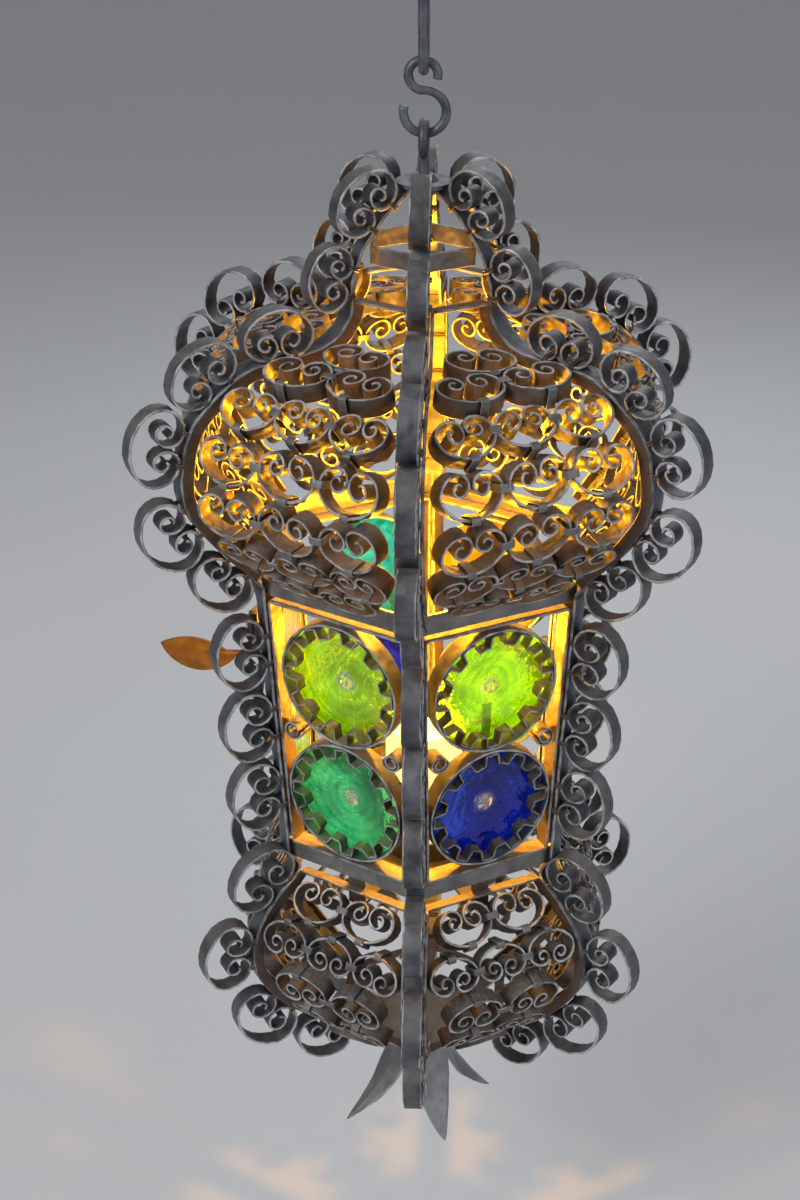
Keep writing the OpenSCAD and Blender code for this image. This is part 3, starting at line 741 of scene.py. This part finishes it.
# %% [markdown]
# ## Window frames, rings and toothed straps
#
# Each side of the body has a frame of flat bar with two rings in it. Inside a ring, a thin strap is bent to
# and fro into twelve teeth, which hold the glass. The door is built with the same helpers as the fixed
# sides, and rides on its own body.
# The strap could be cut from a gear shape. A bent line was chosen because the real one is a strip, with
# the same thickness everywhere.

# %% Window frames, rings and toothed straps
def window_frame(pile, angle):
    """Four corners joined by straight lines: a point is corner a times (1 - share) plus corner b times share,
    with the shares closer together at the corners."""
    corners = np.array([[-151.5, -43.6], [27, -49.6], [27, 49.6], [-151.5, 43.6]])
    nxt = np.roll(corners, -1, 0)
    share = np.array([0.01, 0.03, 0.2, 0.4, 0.6, 0.8, 0.97, 0.99])[:, None]
    p = (corners[:, None] * (1 - share) + nxt[:, None] * share).reshape(-1, 2)
    m = on_body(angle, 0)
    strap(pile, put(m, np.column_stack([np.full(len(p), -4.0), p[:, 1], p[:, 0]])), m[:, 0], BAR, 1.9,
          closed=True)


def round_path(m, radius, x, count=40):
    """Points round a circle, or round any line whose radius is given for each angle."""
    k = np.linspace(0, 2 * np.pi, count, endpoint=False)
    return put(m, np.column_stack([np.full(count, x), radius * np.cos(k), radius * np.sin(k)]))


def teeth_path(m, x, inner=32.8, outer=40.0, lobes=12):
    """A square wave round a circle: five points on the outer level, then five on the inner, per tooth."""
    share = np.array([-0.20, -0.1, 0, 0.1, 0.20, 0.3, 0.4, 0.5, 0.6, 0.70])
    bow = np.array([0, .25, .3, .25, 0, 0, -.1, -.15, -.1, 0])
    k = (np.arange(lobes)[:, None] + share).reshape(-1) / lobes * 2 * np.pi
    r = np.where(np.arange(10) < 5, outer, inner) + bow
    r = np.tile(r, lobes) + rng.normal(0, 0.25, lobes * 10)
    k = k + rng.normal(0, 0.006, len(k))
    return put(m, np.column_stack([np.full(len(k), x), r * np.cos(k), r * np.sin(k)]))


def window(rings, teeth, angle, z):
    """A hoop round a circle of 42.3 mm and, inside it, a strap along the square wave."""
    m = on_body(angle, z)
    strap(rings, round_path(m, 42.3, -4), m[:, 0], BAR, 1.7, closed=True)
    strap(teeth, teeth_path(m, -2), m[:, 0], 8, 1.3, closed=True, rough=0.6)


def curl(pile, angle, across):
    """A small roll: the radius falls from 6.6 to 2.6 over one and three quarter turns."""
    k = np.linspace(0, 3.5 * np.pi, 30)
    r = 6.6 - 4.0 * (k / k[-1])
    way_round = k * np.sign(across) + (np.pi if across > 0 else 0)
    m = shifted(on_body(angle, (UPPER_Z + LOWER_Z) / 2), [0, across, 0])
    strap(pile, put(m, np.column_stack([np.full(30, -4.0), r * np.cos(way_round),
                                       r * np.sin(way_round)])), m[:, 0], BAR, 1.4)


frames, rings, teeth, curls = Pile(), Pile(), Pile(), Pile()
for angle in (a for a in PANELS if a != DOOR):
    window_frame(frames, angle)
    for z in (UPPER_Z, LOWER_Z):
        window(rings, teeth, angle, z)
    for across in (-37.8, 37.8) if angle != DOOR - 60 else (-37.8,):
        curl(curls, angle, across)
frames.make("window_frames", frame_iron, "lantern", ["body_frames"])
rings.make("glass_rings", rib_iron, "lantern", ["body_rings"])
teeth.make("toothed_straps", frame_iron, "lantern", ["body_meanders"])
curls.make("side_curls", scroll_iron, "lantern", ["filler_curls"])

door_rings, door_teeth, door_curls = Pile(), Pile(), Pile()
for z in (UPPER_Z, LOWER_Z):
    window(door_rings, door_teeth, DOOR, z)
curl(door_curls, DOOR, 37.8)
door_rings.make("door_ring_pair", rib_iron, "door", ["door_rings"])
door_teeth.make("door_toothed_straps", frame_iron, "door", ["door_meanders"])
door_curls.make("door_curl", scroll_iron, "door", ["door_filler"])

# %% [markdown]
# ## Bottle glass
#
# A disc is spun from a gather of glass, so it has a thick boss in the middle, soft rings round it and a
# wavy face. The shape is a surface of turning whose front rises and falls with the radius, plus a small
# swell that changes with the angle.
# The Screw modifier could turn the same profile. A grid of radius and angle was chosen because the swell
# can then depend on both.

# %% Bottle glass
def glass_disc(pile, angle, z):
    """Front: -6.6 mm + rings of cosine + a bell-shaped boss; back: -9.2 mm + half of the rings."""
    m = on_body(angle, z)
    share = np.array([.02, .05, .09, .13, .17, .21, .26, .31, .36, .42, .48, .54, .6, .66, .72, .78, .84, .9,
                      .95, .985])
    k = np.linspace(0, 2 * np.pi, 72, endpoint=False)
    r = 41.0 * share[:, None] * np.ones_like(k)
    swirl = rng.uniform(0, 6.28, 3)
    wave = 0.22 * np.cos(r * 0.95 + swirl[0] + 0.5 * np.cos(k + swirl[1])) + 0.14 * np.cos(3 * k + swirl[2])
    front = -6.6 + wave * np.clip((41 - r) / 8, 0, 1) + 1.9 * np.exp(-(r / 5.5) ** 2)
    front = front + 0.5 * np.exp(-((r - 10.5) / 2.2) ** 2)
    back = -9.2 + 0.5 * wave
    depth = np.vstack([front, np.full((1, 72), -7.2), np.full((1, 72), -8.6), back[::-1]])
    reach = np.vstack([r, np.full((2, 72), 41.0), r[::-1]])
    p = np.stack([depth, reach * np.cos(k), reach * np.sin(k)], -1)
    pile.grid(put(m, p), edge=np.broadcast_to(reach / 41.0, p.shape[:2]), tone=rng.random())


def glass(name, deep, pale, glow, strength=0.5):
    """Coloured glass: streaks of a deep and a pale colour round the boss, seeds, and a faint painted glow."""
    material, tree, skin = new_material(name)
    spot_on = node(tree, "ShaderNodeTexCoord").outputs["Object"]
    flow = node(tree, "ShaderNodeTexNoise", {"Vector": spot_on, "Scale": 30.0, "Detail": 3.0,
                                             "Distortion": 1.6})
    seeds = node(tree, "ShaderNodeTexNoise", {"Vector": spot_on, "Scale": 300.0, "Detail": 1.0})
    reach = node(tree, "ShaderNodeAttribute", attribute_name="edge").outputs["Fac"]
    spun = node(tree, "ShaderNodeMath", {0: calc(tree, "MULTIPLY", reach, 38.0)}, operation="SINE").outputs[0]
    share = calc(tree, "ADD", span(tree, flow.outputs[0], 0.30, 0.70), calc(tree, "MULTIPLY", spun, 0.12),
                 clamp=True)
    clear = span(tree, reach, 0.10, 0.20, 0.0, 1.0)
    base = mix(tree, clear, (0.88, 0.95, 0.92), mix(tree, share, deep, pale))
    cloud = node(tree, "ShaderNodeTexNoise", {"Vector": spot_on, "Scale": 15.0, "Detail": 2.0,
                                              "Distortion": 0.8})
    dim = calc(tree, "MULTIPLY", span(tree, cloud.outputs[0], 0.36, 0.62, 0.05, 1.0),
               span(tree, share, 0.0, 1.0, 0.45, 1.0))
    dim = calc(tree, "MULTIPLY", dim, span(tree, clear, 0.0, 1.0, 0.3, 1.0))
    # Painted glow: emission in place of the candle's light through the glass, weaker in clouds and at the
    # boss.
    light = mix(tree, dim, tuple(v * 0.12 for v in glow), glow)
    swell = calc(tree, "ADD", flow.outputs[0], calc(tree, "MULTIPLY", seeds.outputs[0], 0.12))
    bump = node(tree, "ShaderNodeBump", {"Height": swell, "Strength": 0.6, "Distance": 0.003})
    rough = span(tree, seeds.outputs[0], 0.3, 0.7, 0.03, 0.12)
    feed(tree, skin, Base_Color=base, Roughness=rough, Normal=bump.outputs[0], Emission_Color=light)
    skin.inputs["Emission Strength"].default_value = strength
    skin.inputs["Transmission Weight"].default_value = 0.95
    skin.inputs["IOR"].default_value = 1.45
    return material


# The last colour and number of each glass set its painted glow: emission for the candle's light behind it.
lime = glass("lime glass", (0.22, 0.52, 0.0), (0.66, 0.95, 0.02), (0.40, 0.74, 0.0), 0.5)
emerald = glass("emerald glass", (0.0, 0.30, 0.12), (0.12, 0.75, 0.32), (0.05, 0.50, 0.18), 0.45)
cobalt = glass("cobalt glass", (0.002, 0.006, 0.16), (0.01, 0.05, 0.75), (0.0, 0.014, 0.35), 0.3)
amber = glass("amber glass", (0.5, 0.18, 0.0), (0.95, 0.55, 0.03), (0.9, 0.38, 0.0), 0.55)
teal = glass("teal glass", (0.0, 0.24, 0.22), (0.08, 0.75, 0.6), (0.02, 0.5, 0.38), 0.55)
DISCS = [("lime_discs", lime, [(240, UPPER_Z), (300, UPPER_Z), (60, LOWER_Z)], "glass_lime", "lime_glass"),
         ("emerald_discs", emerald, [(240, LOWER_Z), (0, UPPER_Z)], "glass_emerald", "emerald_glass"),
         ("cobalt_discs", cobalt, [(300, LOWER_Z), (120, LOWER_Z)], "glass_cobalt", "cobalt_glass"),
         ("amber_discs", amber, [(0, LOWER_Z), (60, UPPER_Z)], "glass_amber", "amber_glass"),
         ("teal_discs", teal, [(120, UPPER_Z)], "glass_teal", "teal_glass"),
         ("door_disc_amber", amber, [(180, UPPER_Z)], "door_glass_upper", "amber_glass"),
         ("door_disc_lime", lime, [(180, LOWER_Z)], "door_glass_lower", "lime_glass")]
for name, material, places, cad, slot in DISCS:
    pile = Pile()
    for angle, z in places:
        glass_disc(pile, angle, z)
    piece = pile.make(name, material, "door" if cad.startswith("door") else "lantern", [cad],
                      weighted=False)

# %% [markdown]
# ## Leaves under the basket
#
# Three beaten leaves hang from the bottom plate. A leaf is a blade with a crease down its middle: its
# centre line curves outward toward the tip, and its half width follows the same law as the CAD blade.
# A plane pulled into shape with proportional editing would look alike; a formula keeps the blade in step
# with its CAD node.

# %% Leaves under the basket
def leaf(pile, azimuth, twist, drop, reach, thick=1.5):
    """Way: out = reach(0.25f + 0.75f^3), down = drop*f - 6f^3. Half width: 15.4*sin^0.7, a quarter less at
    the tip. The crease lifts the middle, and the rims are beaten a little wavy."""
    f = np.linspace(0, 1, 30)[:, None]
    half = 15.4 * np.abs(np.sin(np.pi * np.minimum(0.12 + f * 0.88, 1))) ** 0.7 * (1 - 0.25 * f) + 0.2
    g = np.concatenate([np.linspace(-1, 1, 15), np.linspace(1, -1, 15)])
    sign = np.repeat([1, -1], 15)
    out = reach * (0.25 * f + 0.75 * f ** 3)
    down = -drop * f + 6 * f ** 3
    slope = np.arctan2(np.gradient(down[:, 0]), np.gradient(out[:, 0]))[:, None]
    wavy = 0.35 * np.sin(f * 19 + rng.uniform(0, 6)) * g ** 2 + 0.25 * np.sin(f * 31 + g * 4)
    lift = 0.9 * (1 - np.abs(g)) ** 2 - 0.5 * np.abs(g) + wavy * np.abs(g)
    rim = thick / 2 * (1 - 0.75 * g ** 8)
    off = lift * np.minimum(1, 6 * (1 - f) + 0.2) + sign * rim * np.minimum(1, 3 * (1 - f) + 0.25)
    p = np.stack([out - np.sin(slope) * off, half * g + 0 * f, down + np.cos(slope) * off], -1)
    p = p @ turn(twist).T + np.array([14, 0, -335.4])
    pile.grid(p @ turn(azimuth).T, edge=np.broadcast_to(g, (30, 30)))


for name, numbers, cad in (("leaf_left_blade", (165, 52, 82, 52), "leaf_left"),
                           ("leaf_front_blade", (285, 8, 82, 36), "leaf_front"),
                           ("leaf_right_blade", (45, -42, 78, 38), "leaf_right")):
    pile = Pile()
    leaf(pile, *numbers)
    pile.make(name, leaf_iron, "lantern", [cad], weighted=False)

# %% [markdown]
# ## Hanging gear
#
# The long link, the S-hook and the eye are round wire, bent hot, so their thickness is a little uneven. The
# link is two straight runs and two half turns; the hook is two arcs that curl opposite ways.
# A torus and a bevelled curve could make them. Swept arcs were chosen because a link and an eye are then
# the same few lines.

# %% Hanging gear
def arc(cx, cz, radius, first, last, count):
    """Points at centre plus radius times (cos, sin), at even angles from first to last degree."""
    k = np.radians(np.linspace(first, last, count))
    return np.column_stack([cx + radius * np.cos(k), cz + radius * np.sin(k)])


half_turn = np.vstack([arc(0, -6, 9, 0, 180, 17), arc(0, -81, 9, 180, 360, 17)])
runs = np.vstack([half_turn[:17], np.column_stack([np.full(9, -9.0), np.linspace(-13, -74, 9)]),
                  half_turn[17:], np.column_stack([np.full(9, 9.0), np.linspace(-74, -13, 9)])])
link = Pile()
wire(link, np.column_stack([np.zeros(len(runs)), runs[:, 0], runs[:, 1] + HANG]), 3, closed=True, sides=14)
link.make("link_wire", rib_iron, "link", ["hanging_link"], weighted=False)

hook_top = -87 + 2.9 - 8.6
upper = arc(-0.5, hook_top, 8.6, -15, 265, 26)
lower = arc(0.5, hook_top - 21.1, 12.5, 85, -195, 32)
hook_way = np.vstack([upper, lower])
hook = Pile()
wire(hook, np.column_stack([hook_way[:, 0], np.zeros(len(hook_way)), hook_way[:, 1] + HANG]), 2.8, sides=14)
hook.make("hook_wire", rib_iron, "hook", ["s_hook"], weighted=False)

eye = Pile()
eye_way = arc(0, 300.6, 9, 0, 360, 37)[:-1]
wire(eye, np.column_stack([np.zeros(36), eye_way[:, 0], eye_way[:, 1]]), 3, closed=True, sides=14)
shank = np.column_stack([np.zeros(12), np.zeros(12), np.linspace(264.2, 291.0, 12)])
wire(eye, shank, 3, sides=14)
eye.make("eye_bolt", rib_iron, "lantern", ["top_eye"], weighted=False)

# %% [markdown]
# ## Candle and flame
#
# A stout pillar candle stands in a ring on a pan. Its top has melted to a shallow bowl, so the profile dips
# to the wick and the rim wanders. The flame is a tear drop that gives light; wax lets that light through,
# which subsurface scattering shows. The wax also carries a painted glow: it emits a warm light of its own,
# brighter toward the top, in place of the flame's light shining through it.
# A cylinder with a bevel is the usual start; a turned profile was chosen because the melted bowl is part
# of it.

# %% Candle and flame
def turned(pile, radius, height, sides=56, wobble=0.0, centre=(0.0, 0.0)):
    """A profile of radius and height turned round Z; wobble swells the radius by a slow wave."""
    k = np.linspace(0, 2 * np.pi, sides, endpoint=False)
    r = np.asarray(radius, float)[:, None] * (1 + wobble * np.sin(3 * k + 1) + wobble * np.sin(7 * k) / 2)
    p = np.stack([centre[0] + r * np.cos(k), centre[1] + r * np.sin(k),
                  np.asarray(height, float)[:, None] + 0 * k], -1)
    pile.grid(p)


TOP = -91.2
body = Pile()
turned(body, [0.5, 24.6, 25.6, 25.9, 25.9, 25.8, 25.5, 24.6, 23.2, 21.5, 18, 12, 6, 1.2],
       [-185.2, -185.2, -184.6, -183, -140, -100, TOP - 2, TOP - .4, TOP - .3, TOP - 2, TOP - 3.6, TOP - 4.4,
        TOP - 4.8, TOP - 5], wobble=0.003)
wax, tree, skin = new_material("warm wax")
spot_on = node(tree, "ShaderNodeTexCoord").outputs["Object"]
up = node(tree, "ShaderNodeSeparateXYZ", {0: spot_on}).outputs["Z"]
bloom = node(tree, "ShaderNodeTexNoise", {"Vector": spot_on, "Scale": 90.0, "Detail": 4.0})
base = mix(tree, bloom.outputs[0], (0.86, 0.74, 0.52), (0.93, 0.85, 0.68))
# Painted glow: the wax emits warm light, stronger toward the top, in place of the flame's light through it.
height_ramp = span(tree, up, (-HANG - 185) * MM, (-HANG + TOP) * MM, 0.55, 1.0)
painted_wax_glow = mix(tree, height_ramp, (0.10, 0.03, 0.004), (1.0, 0.62, 0.22))
bump = node(tree, "ShaderNodeBump", {"Height": bloom.outputs[0], "Strength": 0.25, "Distance": 0.001})
feed(tree, skin, Base_Color=base, Emission_Color=painted_wax_glow, Normal=bump.outputs[0],
     Roughness=span(tree, bloom.outputs[0], 0.3, 0.7, 0.35, 0.55))
skin.inputs["Emission Strength"].default_value = 1.6
skin.inputs["Subsurface Weight"].default_value = 0.5
skin.inputs["Subsurface Scale"].default_value = 0.01
body.make("candle_body", wax, "candle", ["candle"], weighted=False)

flame_pile = Pile()
share = np.linspace(0.02, 0.99, 24)
turned(flame_pile, 6.2 * np.sin(np.pi * share ** 0.62) ** 1.1 + 0.15, -84.5 + 30 * share, sides=20)
flame, tree, skin = new_material("flame")
up = node(tree, "ShaderNodeSeparateXYZ", {0: node(tree, "ShaderNodeTexCoord").outputs["Object"]}).outputs["Z"]
height_ramp = span(tree, up, (-HANG - 85) * MM, (-HANG - 62) * MM)
feed(tree, skin, Base_Color=mix(tree, height_ramp, (0.3, 0.2, 0.2), (1, 0.8, 0.4)),
     Emission_Color=mix(tree, height_ramp, (1.0, 0.42, 0.08), (1.0, 0.78, 0.38)))
skin.inputs["Emission Strength"].default_value = 28
flame_pile.make("flame_drop", flame, "candle", weighted=False)

wick_pile = Pile()
k = np.linspace(0, 1, 12)
wire(wick_pile, np.column_stack([1.5 * k ** 2, 0.5 * k, -95.9 + 14 * k]), 0.85, sides=10, rough=0.08)
char, tree, skin = new_material("charred wick")
strand = node(tree, "ShaderNodeTexNoise", {"Vector": node(tree, "ShaderNodeTexCoord").outputs["Object"],
                                           "Scale": 2500.0})
feed(tree, skin, Base_Color=mix(tree, strand.outputs[0], (0.012, 0.01, 0.009), (0.08, 0.06, 0.045)),
     Roughness=span(tree, strand.outputs[0], 0.2, 0.8, 0.7, 0.95))
wick_pile.make("wick_strand", char, "candle", ["wick"], weighted=False)

# %% [markdown]
# ## Latch pull
#
# A turn button holds the door. Its shaft passes through the frame and carries a leaf-shaped pull outside,
# burnished by fingers to a warm brown. The shaft and tongue stay as the CAD node.
# The pull could be rebuilt as a mesh, but its plain CAD shape is already right, so it only gets a finish.
# The small tabs, pins and plates are treated in the same way.

# %% Latch pull and kept nodes
latch_iron = iron("burnished pull", (0.26, 0.105, 0.016), (0.48, 0.22, 0.032), rust=0.3, dust=0.15, facet=120,
                  bright=0.45)
KEEP = {name: frame_iron for name in ("body_tabs", "door_tabs", "door_frame", "hinge_pintles", "hinge_eyes",
                                      "latch_keeper", "leaf_rivets", "pan_cradle", "candle_socket")}
KEEP.update({"crown_cap": rib_iron, "eye_nut": rib_iron, "bottom_plate": leaf_iron, "candle_pan": frame_iron,
             "latch": latch_iron})
for name, material in KEEP.items():
    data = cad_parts[name].data
    data.materials.clear()
    data.materials.append(material)
print("CAD nodes dressed:", len(KEEP))

# %% [markdown]
# ## Floor, light and camera
#
# The lantern hangs over a plain pale floor. A large soft panel stands in for a studio box at the upper
# left, a weaker one fills from the right, and a third lights the far edge. Two warm point lights do the work
# of the candle, one at the flame and one in the dome, and each rides on its body so that it swings with the
# lantern. The camera looks down at the near rib from a little to one side.
# An image of a studio could light it as well, but lamps are simple to move and keep the shadows soft.

# %% Floor, light and camera
floor_mesh = bpy.data.meshes.new("floor")
FLOOR_Z, FLOOR_HALF = -1.02, 6
floor_corners = [(x * FLOOR_HALF, y * FLOOR_HALF, FLOOR_Z) for x, y in ((-1, -1), (1, -1), (1, 1), (-1, 1))]
floor_mesh.from_pydata(floor_corners, [], [(0, 1, 2, 3)])
floor = bpy.data.objects.new("floor", floor_mesh)
bpy.context.scene.collection.objects.link(floor)
plain, tree, skin = new_material("plain floor")
grain = node(tree, "ShaderNodeTexNoise", {"Vector": node(tree, "ShaderNodeTexCoord").outputs["Object"],
                                          "Scale": 3.0})
feed(tree, skin, Base_Color=mix(tree, grain.outputs[0], (0.78, 0.78, 0.78), (0.80, 0.80, 0.80)))
skin.inputs["Roughness"].default_value = 0.9
floor_mesh.materials.append(plain)


def area(name, spot_at, aim, size, power, colour=(1, 1, 1)):
    """A square light panel; yaw and pitch are the arc tangents of the line from its place to its aim."""
    data = bpy.data.lights.new(name, "AREA")
    data.size, data.energy, data.color = size, power, colour
    obj = bpy.data.objects.new(name, data)
    obj.location = spot_at
    way = np.array(aim, float) - np.array(spot_at, float)
    yaw = math.atan2(way[1], way[0]) - math.pi / 2
    pitch = math.atan2(way[2], math.hypot(way[0], way[1])) + math.pi / 2
    obj.rotation_euler = (pitch, 0, yaw)
    bpy.context.scene.collection.objects.link(obj)


middle = (0, 0, -0.43)
area("soft box", (-1.3, -1.5, 0.9), middle, 1.0, 22)
area("fill box", (1.6, -1.0, 0.3), middle, 1.2, 8, (0.9, 0.95, 1.0))
area("back box", (0.4, 1.8, 0.8), middle, 1.0, 12, (0.9, 0.95, 1.0))
CANDLE_LIGHTS = [("flame light", -0.495, 5.5, "candle"), ("glow light", -0.33, 5.0, "lantern")]
for label, z, power, holder in CANDLE_LIGHTS:
    lamp = bpy.data.lights.new(label, "POINT")
    lamp.energy, lamp.color, lamp.shadow_soft_size = power, (1.0, 0.43, 0.012), 0.012
    spot = bpy.data.objects.new(label, lamp)
    spot.location = (0, 0, z)
    bpy.context.scene.collection.objects.link(spot)
    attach(spot, holder)

world = bpy.data.worlds.new("studio")
bpy.context.scene.world = world
bpy.context.scene.view_settings.view_transform = "Standard"
world.use_nodes = True
sky = world.node_tree.nodes["Background"]
sky.inputs[0].default_value = (0.80, 0.84, 0.90, 1)
sky.inputs[1].default_value = 0.28

camera_data = bpy.data.cameras.new("camera")
camera_data.sensor_fit, camera_data.sensor_height, camera_data.lens = "VERTICAL", 36, 60
camera_data.shift_x = -24 / 1200
camera = bpy.data.objects.new("camera", camera_data)
bpy.context.scene.collection.objects.link(camera)
azimuth, down, distance = math.radians(3), math.radians(26.5), 1.30
camera.location = (distance * math.sin(azimuth) * math.cos(down),
                   -distance * math.cos(azimuth) * math.cos(down), middle[2] + distance * math.sin(down))
camera.rotation_euler = (math.pi / 2 - down, 0, azimuth)
bpy.context.scene.camera = camera
print("camera at", [round(v, 3) for v in camera.location])
